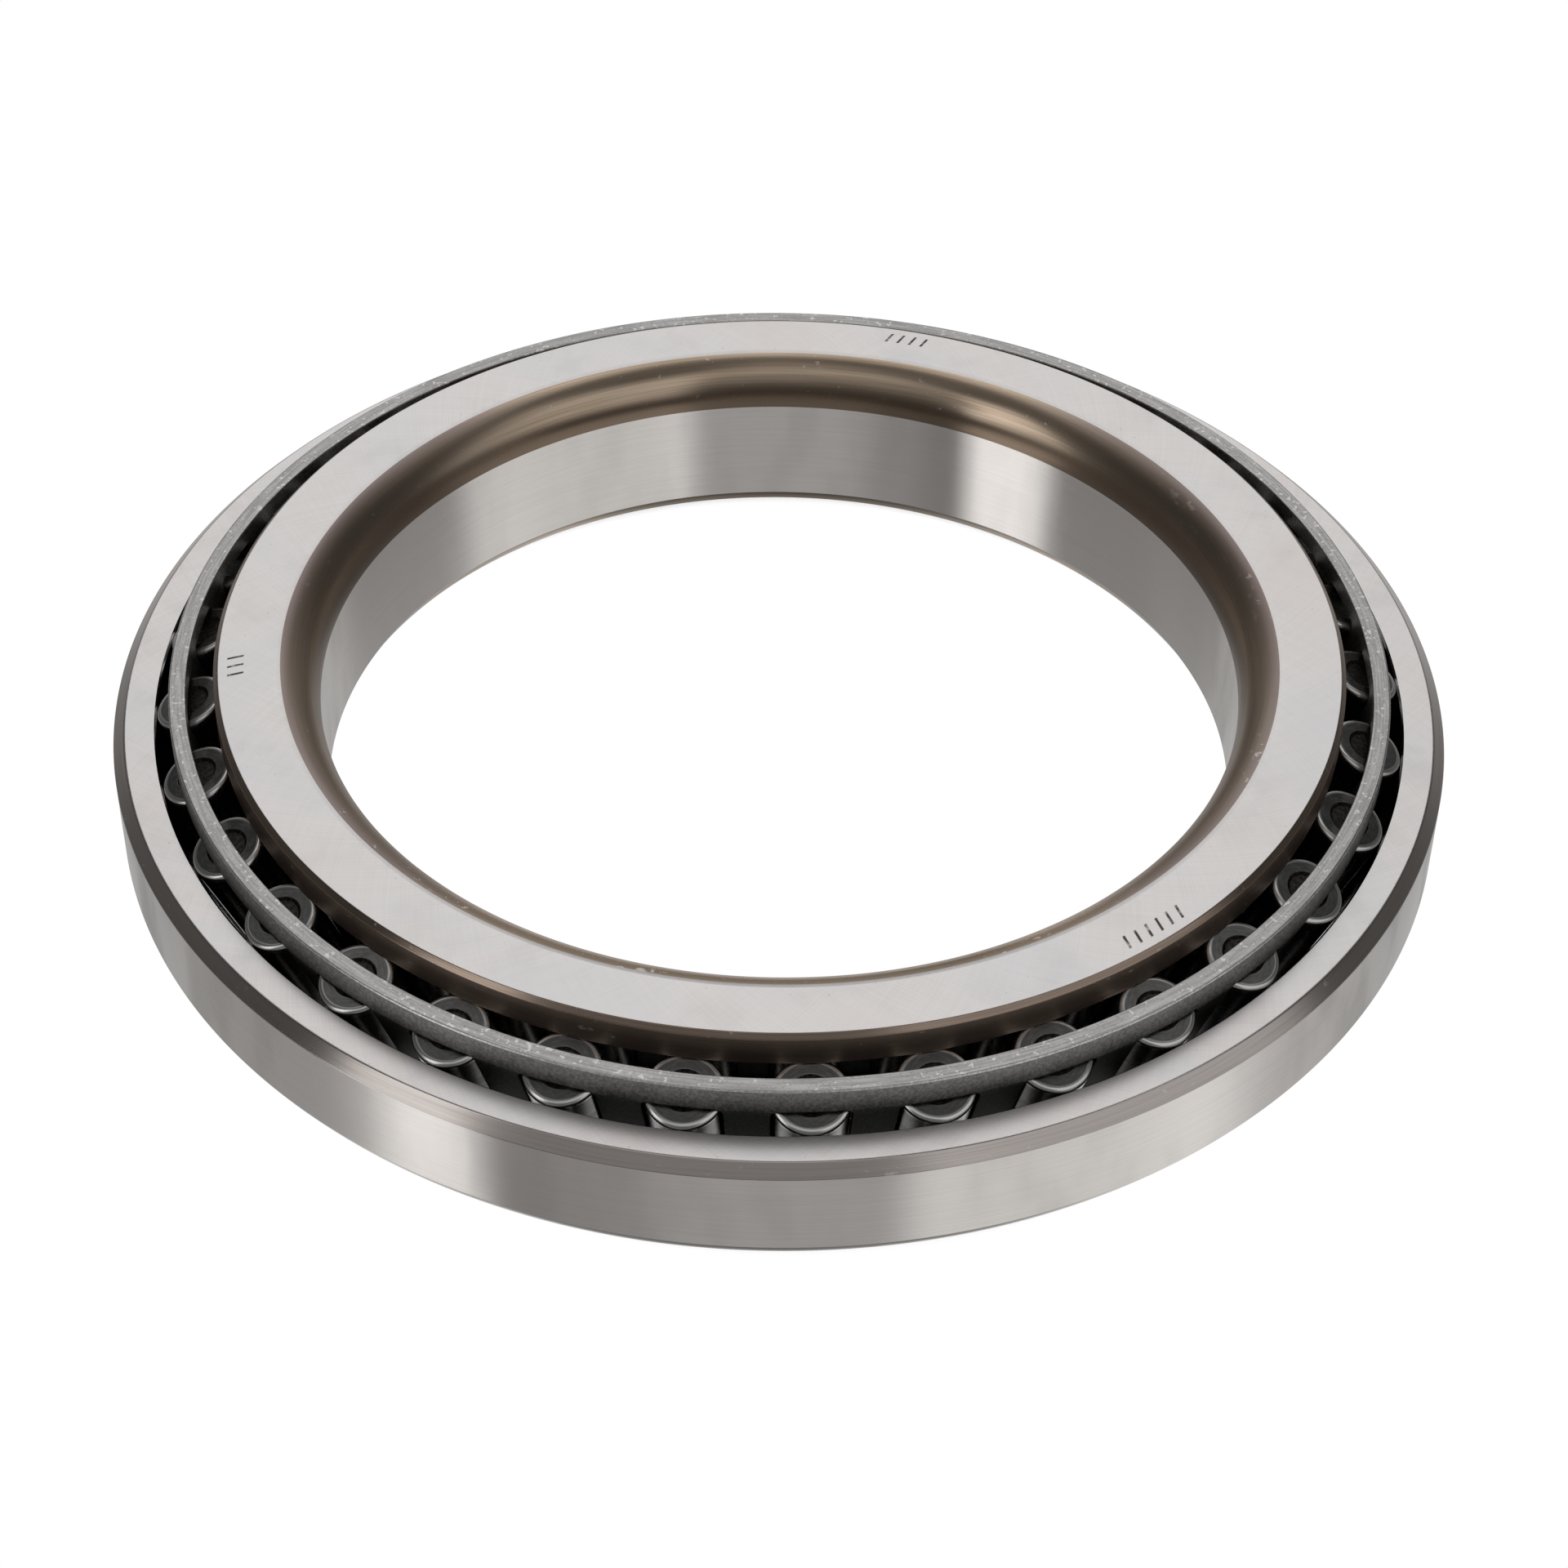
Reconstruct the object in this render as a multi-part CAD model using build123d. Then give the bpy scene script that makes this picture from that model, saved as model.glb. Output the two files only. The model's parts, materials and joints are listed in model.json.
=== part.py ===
from build123d import *
import math
import os

# Single-row tapered roller bearing, all sizes in millimetres and degrees.
#
# Frame: the bearing axis is +Z and the origin is the centre of the outer ring's back face, on which
# the bearing lies. The inner ring's back face is on top. The raceways and all roller axes meet in
# one point on the axis, the apex, below the bearing, so the rollers roll without sliding.

# ---- Boundary sizes ----
BORE_DIAMETER = 109.538
OUTSIDE_DIAMETER = 158.750
ASSEMBLED_WIDTH = 23.020      # outer ring's back face to inner ring's back face
INNER_RING_WIDTH = 21.438
OUTER_RING_WIDTH = 15.875

# ---- Rollers ----
ROLLER_COUNT = 33
ROLLER_DIAMETER = 8.90        # at the large end, as if it touched both raceways
ROLLER_LENGTH = 14.60
ROLLER_LARGE_ROUND = 0.50
ROLLER_SMALL_ROUND = 0.35
DIMPLE_RADIUS = 2.40          # shallow recess in the roller's large end
DIMPLE_DEPTH = 0.30
RACE_GAP = 0.04               # running clearance of a roller at each raceway
RIB_GAP = 0.06                # between the roller's large end and the inner ring's rib
SMALL_END_GAP = 0.30          # between the roller's small end and the inner ring's small rib

# ---- Outer ring ----
OUTER_RACE_ANGLE = 22.1       # between the outer raceway and the axis
OUTER_WALL = 5.045            # raceway to outside diameter at the front face
OUTER_FRONT_CHAMFER = 1.40
OUTER_BACK_CORNER = 4.00      # legs of the large rounded corner at the back face
OUTER_BACK_ARC = 8.30         # radius of that corner's arc
OUTER_EDGE_BREAK = 0.25       # where the raceway meets the two faces

# ---- Inner ring ----
RIB_WIDTH = 3.88              # back face to the raceway's large end
RIB_HEIGHT = 0.88             # of the large rib above the raceway
RIB_CHAMFER = 0.57
SMALL_RIB_HEIGHT = 0.90
SMALL_RIB_BREAK = 0.35
RELIEF = 0.45                 # undercut at the foot of the large rib
BORE_CORNER_ARC = 5.80         # radius of the large corner between bore and back face
BORE_CORNER_LEG = 4.90         # how far that corner reaches along the back face
BORE_FRONT_RISE = 1.80         # chamfer at the front of the bore, along the bore
BORE_FRONT_OPENING = 1.20      # and across it

# ---- Cage ----
CAGE_SHEET = 2.05
CAGE_OFFSET = 1.10            # middle of the sheet, outward from the roller axes
CAGE_RIM = 3.15               # height of the rim above the pockets
CAGE_FOOT = 2.50              # sheet below the pockets
CAGE_BEND = 2.60              # outer radius where the sheet turns in to the flange
CAGE_RIM_ROUND = 0.20         # on the rim's two top edges
CAGE_BORE_GAP = 0.80          # between the flange and the small rib
POCKET_END_GAP = 0.48
POCKET_SIDE_GAP = 0.20
POCKET_SIDE_ANGLE = 8.0       # pocket sides close outward and keep the rollers in
POCKET_ROUND = 1.10

FULL_TURN = 360.0
SETTLING_ROUNDS = 40          # more than the taper needs to settle


def sine(angle):
    return math.sin(math.radians(angle))


def cosine(angle):
    return math.cos(math.radians(angle))


def tangent(angle):
    return math.tan(math.radians(angle))


def roller_half_taper(apex_height):
    """Half the roller's taper, for the roller's diameter and the rib's place on the inner ring.

    At the rib, the inner raceway lies at one height above the apex. That height and the diameter
    give the taper, which is found by putting each value back until it settles.
    """
    height = ASSEMBLED_WIDTH - RIB_WIDTH - apex_height
    half_taper = 0.0
    for _ in range(SETTLING_ROUNDS):
        inner_angle = OUTER_RACE_ANGLE - 2 * half_taper
        half_taper = math.degrees(math.asin(ROLLER_DIAMETER * cosine(inner_angle) / (2 * height)))
    return half_taper


# ---- Layout that follows from the sizes above ----
outside_radius = OUTSIDE_DIAMETER / 2
bore_radius = BORE_DIAMETER / 2
front_race_radius = outside_radius - OUTER_WALL
apex_z = OUTER_RING_WIDTH - front_race_radius / tangent(OUTER_RACE_ANGLE)
half_taper = roller_half_taper(apex_z)
axis_angle = OUTER_RACE_ANGLE - half_taper
inner_race_angle = OUTER_RACE_ANGLE - 2 * half_taper
large_end = ROLLER_DIAMETER / (2 * tangent(half_taper))    # from the apex, along the roller axis
small_end = large_end - ROLLER_LENGTH


def at_roller(along, outward):
    """Radius and height of a point given along a roller axis from the apex, and outward from it."""
    radius = along * sine(axis_angle) + outward * cosine(axis_angle)
    height = apex_z + along * cosine(axis_angle) - outward * sine(axis_angle)
    return (radius, height)


def on_race(along, side):
    """A point on the outer (side 1) or inner (side -1) raceway, beside the roller axis."""
    return at_roller(along, side * along * tangent(half_taper))


def outer_race_radius(height):
    return (height - apex_z) * tangent(OUTER_RACE_ANGLE)


def turned(outline):
    """The solid turned about the bearing axis from an outline given by radius and height."""
    section = Plane.XZ * make_face(outline)
    return revolve(section, Axis.Z, FULL_TURN)


def roller_frame(angle):
    """Axes at the apex: z along the roller at this angle about the bearing, x away from the axis."""
    along = (sine(axis_angle) * cosine(angle), sine(axis_angle) * sine(angle), cosine(axis_angle))
    outward = (cosine(axis_angle) * cosine(angle), cosine(axis_angle) * sine(angle), -sine(axis_angle))
    return Plane(origin=(0, 0, apex_z), x_dir=outward, z_dir=along)


def outer_ring():
    """Cup: a conical raceway inside, a cylindrical seat outside and a thick back face."""
    width = OUTER_RING_WIDTH
    back_flat = (outside_radius - OUTER_BACK_CORNER, 0)
    seat_start = (outside_radius, OUTER_BACK_CORNER)
    back_edge = outer_race_radius(OUTER_EDGE_BREAK)
    front_edge = outer_race_radius(width - OUTER_EDGE_BREAK)
    outline = RadiusArc(back_flat, seat_start, -OUTER_BACK_ARC)
    outline += Polyline(
        seat_start,
        (outside_radius, width - OUTER_FRONT_CHAMFER),
        (outside_radius - OUTER_FRONT_CHAMFER, width),
        (front_edge + OUTER_EDGE_BREAK, width),
        (front_edge, width - OUTER_EDGE_BREAK),
        (back_edge, OUTER_EDGE_BREAK),
        (back_edge + OUTER_EDGE_BREAK, 0),
        back_flat,
    )
    return turned(outline)


# The rib's inner face stands square to the roller axes, just clear of the rollers' large ends.
rib_foot = on_race(large_end + RIB_GAP, -1)
rib_radius = rib_foot[0] + RIB_HEIGHT
rib_edge_z = rib_foot[1] - RIB_HEIGHT * tangent(axis_angle)
small_rib_foot = on_race(small_end - SMALL_END_GAP, -1)
small_rib_radius = small_rib_foot[0] + SMALL_RIB_HEIGHT
small_rib_edge_z = small_rib_foot[1] - SMALL_RIB_HEIGHT * tangent(axis_angle)


def inner_ring():
    """Cone: a conical raceway between a large and a small rib, and a cylindrical bore."""
    back = ASSEMBLED_WIDTH
    front = back - INNER_RING_WIDTH
    corner_rise = math.sqrt(BORE_CORNER_ARC**2 - (BORE_CORNER_ARC - BORE_CORNER_LEG)**2)
    corner_start = (bore_radius, back - corner_rise)
    corner_end = (bore_radius + BORE_CORNER_LEG, back)
    relief_up = on_race(large_end + RIB_GAP - RELIEF, -1)
    relief_deep = at_roller(large_end + RIB_GAP - RELIEF / 2, -ROLLER_DIAMETER / 2 - RELIEF)
    relief_side = at_roller(large_end + RIB_GAP, -ROLLER_DIAMETER / 2 + RELIEF / 2)
    outline = RadiusArc(corner_start, corner_end, BORE_CORNER_ARC)
    outline += Polyline(
        corner_end,
        (rib_radius - RIB_CHAMFER, back),
        (rib_radius, back - RIB_CHAMFER),
        (rib_radius, rib_edge_z),
        relief_side,
        relief_deep,
        relief_up,
        small_rib_foot,
        (small_rib_radius, small_rib_edge_z),
        (small_rib_radius, front + SMALL_RIB_BREAK),
        (small_rib_radius - SMALL_RIB_BREAK, front),
        (bore_radius + BORE_FRONT_OPENING, front),
        (bore_radius, front + BORE_FRONT_RISE),
        corner_start,
    )
    return turned(outline)


def roller():
    """One tapered roller in its own frame: apex at the origin, axis along z, large end away."""
    large_radius = large_end * tangent(half_taper) - RACE_GAP
    small_radius = small_end * tangent(half_taper) - RACE_GAP
    outline = FilletPolyline(
        (0, small_end),
        (small_radius, small_end),
        (large_radius, large_end),
        (DIMPLE_RADIUS, large_end),
        (DIMPLE_RADIUS, large_end - DIMPLE_DEPTH),
        (0, large_end - DIMPLE_DEPTH),
        radius=[0, ROLLER_SMALL_ROUND, ROLLER_LARGE_ROUND, 0, 0, 0],
        close=True,
    )
    return turned(outline)


cage_outer = CAGE_OFFSET + CAGE_SHEET / 2
cage_inner = CAGE_OFFSET - CAGE_SHEET / 2
pocket_top = large_end + POCKET_END_GAP
pocket_foot = small_end - POCKET_END_GAP


def pocket():
    """The space punched out for one roller, in the roller's own frame."""
    spread = ROLLER_DIAMETER / 2
    inside = cage_inner - spread
    outside = cage_outer + spread

    def opening(outward):
        narrowing = outward * tangent(POCKET_SIDE_ANGLE)
        half_large = pocket_top * tangent(half_taper) + POCKET_SIDE_GAP - narrowing
        half_small = pocket_foot * tangent(half_taper) + POCKET_SIDE_GAP - narrowing
        corners = [
            (-half_small, pocket_foot),
            (half_small, pocket_foot),
            (half_large, pocket_top),
            (-half_large, pocket_top),
        ]
        face = make_face(Polyline(*corners, close=True))
        rounded = fillet(face.vertices(), POCKET_ROUND)
        return Plane.YZ.offset(outward) * rounded

    return loft([opening(inside), opening(outside)], ruled=True)


def cage_blank():
    """The pressed sheet before its pockets: an upright rim, a conical wall and an inward flange."""
    shoulder = at_roller(pocket_top, cage_outer)
    rim_outer = shoulder[0]
    rim_inner = rim_outer - CAGE_SHEET
    rim_top = shoulder[1] + CAGE_RIM
    foot = at_roller(pocket_foot - CAGE_FOOT, cage_outer)
    flange_bore = small_rib_radius + CAGE_BORE_GAP
    flange_top = foot[1] + CAGE_SHEET
    inner_wall_radius = cage_inner / cosine(axis_angle)
    wall_slope = tangent(axis_angle)
    flange_corner = inner_wall_radius + (flange_top - apex_z) * wall_slope
    rim_foot_z = apex_z + (rim_inner - inner_wall_radius) / wall_slope
    outline = FilletPolyline(
        (flange_bore, foot[1]),
        foot,
        shoulder,
        (rim_outer, rim_top),
        (rim_inner, rim_top),
        (rim_inner, rim_foot_z),
        (flange_corner, flange_top),
        (flange_bore, flange_top),
        radius=[0, CAGE_BEND, 0, CAGE_RIM_ROUND, CAGE_RIM_ROUND, 0, CAGE_BEND - CAGE_SHEET, 0],
        close=True,
    )
    return turned(outline)


roller_angles = [FULL_TURN * place / ROLLER_COUNT for place in range(ROLLER_COUNT)]


def cage():
    """The cage with one pocket for each roller."""
    pockets = [roller_frame(angle) * pocket() for angle in roller_angles]
    return cage_blank() - pockets


os.makedirs("parts", exist_ok=True)
export_step(outer_ring(), "parts/outer_ring.step")
export_step(inner_ring(), "parts/inner_ring.step")
export_step(cage(), "parts/cage.step")
blank = roller()
for place, angle in enumerate(roller_angles, start=1):
    export_step(roller_frame(angle) * blank, f"parts/roller_{place:02d}.step")

print(f"apex {apex_z:.3f} below the back face, roller axis {axis_angle:.3f} deg")
print(f"half taper {half_taper:.4f} deg, inner raceway {inner_race_angle:.3f} deg")
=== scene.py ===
# %% [markdown]
# # A tapered roller bearing
#
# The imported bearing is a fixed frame: an outer ring, an inner ring, a pressed cage and 33 tapered
# rollers, each already in its place. This lesson turns the rings again with fine rounded edges,
# punches the cage, grinds the rollers and gives every surface the finish the workshop left on it.
# All lengths are in metres, in the frame's own axes: the bearing lies on its back face, axis up.

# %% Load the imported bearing
import json
import math
import bpy
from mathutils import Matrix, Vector


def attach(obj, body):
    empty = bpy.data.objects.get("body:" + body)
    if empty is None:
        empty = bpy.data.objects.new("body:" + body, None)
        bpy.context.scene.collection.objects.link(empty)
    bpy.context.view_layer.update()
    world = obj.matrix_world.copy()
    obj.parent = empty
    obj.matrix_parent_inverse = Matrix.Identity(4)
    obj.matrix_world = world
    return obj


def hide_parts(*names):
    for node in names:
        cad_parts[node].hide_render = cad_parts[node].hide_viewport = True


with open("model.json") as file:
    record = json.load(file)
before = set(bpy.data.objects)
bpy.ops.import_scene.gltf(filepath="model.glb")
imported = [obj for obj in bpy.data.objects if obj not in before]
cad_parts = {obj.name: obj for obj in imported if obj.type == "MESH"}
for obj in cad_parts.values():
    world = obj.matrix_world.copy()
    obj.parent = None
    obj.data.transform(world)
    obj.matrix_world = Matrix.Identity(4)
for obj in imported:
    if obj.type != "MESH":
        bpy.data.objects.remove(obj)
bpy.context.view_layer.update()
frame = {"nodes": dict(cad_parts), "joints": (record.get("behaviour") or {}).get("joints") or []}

MILLIMETRE = 0.001

# %% [markdown]
# ## Camera
#
# The bearing is seen from a little over 40 degrees above the table with a long lens, so its circles
# stay close to true ellipses. The camera stands at a set distance from the bearing's axis and a set
# height, and its three angles aim it just past the middle of the bore.

# %% Place the camera
CAMERA_DISTANCE = 0.32195
CAMERA_HEIGHT = 0.28252
CAMERA_SWING = math.radians(0.39)
CAMERA_AIM = (math.radians(48.657), math.radians(-0.590), math.radians(0.009))
LENS = 79.79

camera_place = (
    -CAMERA_DISTANCE * math.sin(CAMERA_SWING),
    -CAMERA_DISTANCE * math.cos(CAMERA_SWING),
    CAMERA_HEIGHT,
)
bpy.ops.object.camera_add(location=camera_place, rotation=CAMERA_AIM)
camera = bpy.context.object
camera.name = "camera"
camera.data.lens = LENS
camera.data.clip_start = MILLIMETRE
bpy.context.scene.camera = camera
bpy.context.scene.view_settings.view_transform = "Standard"
print("camera at", [round(value, 4) for value in camera_place])

# %% [markdown]
# ## Shader arithmetic
#
# A material is a sum of masks and patterns, and sums are easier to read as sums than as boxes and
# wires. `Wire` holds one output of a node. Plus, minus, times, over and power on it add the Math
# nodes, and `add` makes any other node: its settings first, then what goes into its sockets.

# %% A wire that can be added and multiplied
class Wire:
    """One output of a shader node."""

    def __init__(self, tree, socket=None):
        self.tree = tree
        self.socket = socket

    def add(self, kind, settings=None, inputs=None, output=0):
        node = self.tree.nodes.new(kind)
        for name, value in (settings or {}).items():
            setattr(node, name, value)
        for name, value in (inputs or {}).items():
            if isinstance(value, Wire):
                self.tree.links.new(value.socket, node.inputs[name])
            else:
                node.inputs[name].default_value = value
        return Wire(self.tree, node.outputs[output] if node.outputs else None)

    def maths(self, operation, *values):
        return self.add("ShaderNodeMath", {"operation": operation}, dict(enumerate(values)))

    def split(self):
        node = self.add("ShaderNodeSeparateXYZ", inputs={0: self}).socket.node
        return [Wire(self.tree, socket) for socket in node.outputs]

    def __add__(self, other):
        return self.maths("ADD", self, other)

    __radd__ = __add__

    def __sub__(self, other):
        return self.maths("SUBTRACT", self, other)

    def __rsub__(self, other):
        return self.maths("SUBTRACT", other, self)

    def __mul__(self, other):
        return self.maths("MULTIPLY", self, other)

    __rmul__ = __mul__

    def __truediv__(self, other):
        return self.maths("DIVIDE", self, other)

    def __rtruediv__(self, other):
        return self.maths("DIVIDE", other, self)

    def __pow__(self, other):
        return self.maths("POWER", self, other)


# %% Masks and mixes made from wires
def ramp_up(value, low, high):
    """0 below low, 1 above high and a smooth rise between."""
    settings = {"interpolation_type": "SMOOTHSTEP"}
    return value.add("ShaderNodeMapRange", settings, {"Value": value, "From Min": low, "From Max": high})


def between(value, low, high, soft):
    """1 from low to high, with soft edges centred on both."""
    return ramp_up(value, low - soft, low + soft) * (1 - ramp_up(value, high - soft, high + soft))


def mixed(base, other, mask):
    """The colour base where mask is 0, and other where it is 1."""
    wire = next(value for value in (mask, base, other) if isinstance(value, Wire))
    inputs = {"Factor": mask, 6: base, 7: other}
    return wire.add("ShaderNodeMix", {"data_type": "RGBA"}, inputs, output=2)


def stretched(place, stretch):
    """Place times a stretch for each axis, so that a pattern runs longer one way than another."""
    return place.add("ShaderNodeVectorMath", {"operation": "MULTIPLY"}, {0: place, 1: stretch})


def noise(place, stretch, detail=2.0, roughness=0.5):
    """A soft random pattern from 0 to 1, with stretch features to the metre along each axis."""
    inputs = {"Vector": stretched(place, stretch), "Scale": 1.0, "Detail": detail, "Roughness": roughness}
    return place.add("ShaderNodeTexNoise", None, inputs)


# %% [markdown]
# ## Studio
#
# Polished steel has no colour of its own to speak of: it shows the room. The room here is painted
# on the world shader as a function of direction, because a direction is all that a reflection
# needs. Three angles in degrees say where a panel hangs: the azimuth round the room, the rise above
# the horizon, and the arch from the back wall over the ceiling to the front.
#
# A wide soft panel stands behind the bearing, with a second one overhead and a dark gap between
# them. A weak strip at the zenith and a glow from the front light what leans towards the camera.
# A narrow bright panel stands on the left and a broad softer one on the right. The table is pale,
# with lighter and darker fields on its four sides, and it also mirrors the two side panels. The
# camera sees plain white instead, and the floor glows white except where the bearing stands.

# %% Measure a direction
world = bpy.data.worlds.new("studio")
bpy.context.scene.world = world
world.use_nodes = True
world.node_tree.nodes.clear()

direction = Wire(world.node_tree).add("ShaderNodeTexCoord")
across, back, up = direction.split()
azimuth = back.maths("ARCTAN2", back, across) * math.degrees(1)
rise = up.maths("ARCSINE", up) * math.degrees(1)
arch = up.maths("ARCTAN2", up, back) * math.degrees(1)
height = rise.maths("ABSOLUTE", rise)

# %% Hang the panels
KEY_GLOW = 1.25
SIDE_GLOW = 0.60
BACK_GLOW = 1.12
OVERHEAD_GLOW = 0.72

key = between(azimuth, -161.0, -141.0, 0.8) * between(height, 8, 52, 4)
key = key + between(azimuth, -150, -135, 1.5) * between(height, 8, 30, 5) * (1 - key)
side = between(azimuth, -67, -3, 5) * between(height, 9, 58, 7)
behind = between(arch, 22, 62, 8) * between(across, -0.31, 0.30, 0.06)
overhead = between(arch, 60, 77, 3) * between(across, -0.5, 0.5, 0.25)
zenith = between(arch, 84, 100, 3) * between(across, -0.5, 0.5, 0.25)
horizon = 0.05 + 0.22 * between(azimuth, 50, 130, 8)
forward = between(arch, 108, 128, 5) * between(across, -0.4, 0.4, 0.3)
front_wash = between(azimuth, -145, -62, 16) * ramp_up(rise, 18, 42)
above = 0.06 + 0.26 * front_wash + 0.32 * forward + 0.12 * zenith + BACK_GLOW * behind
above = above + OVERHEAD_GLOW * overhead + horizon * between(rise, -6, 26, 6)

front_table = between(azimuth, -128, -62, 10) * (1 - ramp_up(height, 38, 48))
back_table = between(azimuth, 54, 122, 12)
right_table = between(azimuth, -15, 76, 10) * ramp_up(height, 38, 43)
left_table = between(azimuth, 108, 150, 10) * ramp_up(height, 38, 43)
left_gap = between(azimuth, -148, -112, 7)
below = 0.30 + 0.26 * ramp_up(height, 36, 48) + 0.24 * front_table + 0.36 * back_table
below = below + 0.32 * right_table + 0.26 * left_table
below = below * (1 - 0.28 * left_gap) * (1 - 0.75 * ramp_up(height, 58, 72))

glow = above * ramp_up(rise, -4, 4) + below * (1 - ramp_up(rise, -4, 4))
glow = glow + KEY_GLOW * key + SIDE_GLOW * side
seen = direction.add("ShaderNodeLightPath", output="Is Camera Ray")
strength = glow * (1 - seen) + seen
background = direction.add("ShaderNodeBackground", None, {"Strength": strength})
direction.add("ShaderNodeOutputWorld", None, {"Surface": background})
print("studio world with", len(world.node_tree.nodes), "nodes")

# %% Lay the floor
FLOOR_SIZE = 6.0
FLOOR_DROP = 0.02 * MILLIMETRE
SHADE_REACH = 20 * MILLIMETRE

bpy.ops.mesh.primitive_plane_add(size=FLOOR_SIZE, location=(0, 0, -FLOOR_DROP))
floor = bpy.context.object
floor.name = "floor"
floor.visible_glossy = False
floor.visible_shadow = False

floor_paint = bpy.data.materials.new("floor_white")
floor_paint.use_nodes = True
floor_paint.node_tree.nodes.clear()
start = Wire(floor_paint.node_tree)
openness = start.add("ShaderNodeAmbientOcclusion", None, {"Distance": SHADE_REACH}, output="AO")
white = start.add("ShaderNodeEmission", None, {"Strength": ramp_up(openness, 0.0, 0.12)})
start.add("ShaderNodeOutputMaterial", None, {"Surface": white})
floor.data.materials.append(floor_paint)
print("floor", FLOOR_SIZE, "m wide")

# %% [markdown]
# ## Turning a ring
#
# A ring is a section carried round an axis, which is what a lathe makes. It could be a spun
# outline, but a circle that is extruded and resized from point to point gives the same mesh, and
# every step is one plain operator. Real edges are never sharp, so each corner of the section gets
# a small arc, with a holding point on either side that keeps the flats beside it truly flat.

# %% Rounded corners and large arcs of a section
HOLD = 0.05 * MILLIMETRE
CORNER_STEPS = 4


def rounded(corners):
    """Points of a closed section whose corners are (radius, height, rounding)."""
    points = []
    for place, (radius, height, rounding) in enumerate(corners):
        here = Vector((radius, height))
        if not rounding:
            points.append(here)
            continue
        before = (Vector(corners[place - 1][:2]) - here).normalized()
        after = (Vector(corners[(place + 1) % len(corners)][:2]) - here).normalized()
        half = before.angle(after) / 2
        leg = rounding / math.tan(half)
        centre = here + (before + after).normalized() * rounding / math.sin(half)
        start = here + before * leg - centre
        end = here + after * leg - centre
        sweep = start.angle_signed(end)
        points.append(here + before * (leg + HOLD))
        for step in range(CORNER_STEPS + 1):
            turn = -sweep * step / CORNER_STEPS
            spoke = Vector((
                start.x * math.cos(turn) - start.y * math.sin(turn),
                start.x * math.sin(turn) + start.y * math.cos(turn),
            ))
            points.append(centre + spoke)
        points.append(here + after * (leg + HOLD))
    return points


def bulge(start, end, radius, steps):
    """Corners between start and end on an arc that bulges to the right of the way there."""
    start = Vector(start)
    end = Vector(end)
    chord = end - start
    rise = math.sqrt(radius**2 - (chord.length / 2)**2)
    centre = (start + end) / 2 + Vector((-chord.y, chord.x)).normalized() * rise
    first = start - centre
    sweep = first.angle(end - centre)
    corners = []
    for step in range(1, steps):
        turn = sweep * step / steps
        corners.append((
            centre.x + first.x * math.cos(turn) - first.y * math.sin(turn),
            centre.y + first.x * math.sin(turn) + first.y * math.cos(turn),
            0,
        ))
    return corners


# %% Extrude a circle along the section
SEAM = 0.001 * MILLIMETRE
SMOOTH_BELOW = math.radians(36)


def start_circle(name, point, sides):
    """A bare circle of edges at the first point of a section, left open in edit mode."""
    bpy.ops.object.select_all(action="DESELECT")
    bpy.ops.mesh.primitive_circle_add(
        vertices=sides,
        radius=point[0],
        location=(0, 0, point[1]),
        rotation=(0, 0, math.pi / 2),
    )
    bpy.context.object.name = name
    bpy.ops.object.transform_apply()
    bpy.ops.object.mode_set(mode="EDIT")
    bpy.ops.mesh.select_all(action="SELECT")
    return bpy.context.object


def carry(points):
    """Carries the selected circle from point to point of a section."""
    for here, there in zip(points, points[1:]):
        lift = {"value": (0, 0, there[1] - here[1])}
        bpy.ops.mesh.extrude_edges_move(TRANSFORM_OT_translate=lift)
        growth = there[0] / here[0]
        bpy.ops.transform.resize(value=(growth, growth, 1), center_override=(0, 0, there[1]))


def close_mesh(piece):
    """Merges what meets, turns all faces outwards and leaves edit mode."""
    bpy.ops.mesh.select_all(action="SELECT")
    bpy.ops.mesh.remove_doubles(threshold=SEAM)
    bpy.ops.mesh.normals_make_consistent(inside=False)
    bpy.ops.object.mode_set(mode="OBJECT")
    bpy.ops.object.shade_smooth_by_angle(angle=SMOOTH_BELOW)
    return piece


def turned_ring(name, corners, sides):
    """A closed ring turned from a section of (radius, height, rounding) corners."""
    points = rounded(corners)
    piece = start_circle(name, points[0], sides)
    carry(points + points[:1])
    close_mesh(piece)
    print(name, len(points), "points in section,", len(piece.data.polygons), "faces")
    return piece


# %% Read a ring's corners from the frame
NEAR = 0.01 * MILLIMETRE


def section(node):
    """Radius and height of every corner of a turned CAD node."""
    return [(v.co.xy.length, v.co.z) for v in frame["nodes"][node].data.vertices]


def radii_at(corners, height):
    """Smallest and largest radius of the corners at a height."""
    found = [radius for radius, z in corners if abs(z - height) < NEAR]
    return min(found), max(found)


def heights_at(corners, radius):
    """Lowest and highest of the corners at a radius."""
    found = [z for r, z in corners if abs(r - radius) < NEAR]
    return min(found), max(found)


# %% [markdown]
# ## Outer ring
#
# The outer ring, or cup, is a turned and ground steel ring with a cone-shaped track inside. Its
# outside seats in a housing, so it has a large soft corner at the back that leads it in, and a
# chamfer at the front whose edge has been knocked round in handling. The sizes come from the frame,
# and only the edges are added: crisp where a wheel ran out, tumbled or worn elsewhere.

# %% Turn the outer ring
RING_SIDES = 480
TUMBLED_EDGE = 0.16 * MILLIMETRE
CRISP_EDGE = 0.07 * MILLIMETRE
WORN_EDGE = 0.36 * MILLIMETRE
LESS_WORN_EDGE = 0.216 * MILLIMETRE
BACK_ARC = 8.30 * MILLIMETRE
ARC_STEPS = 14

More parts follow.
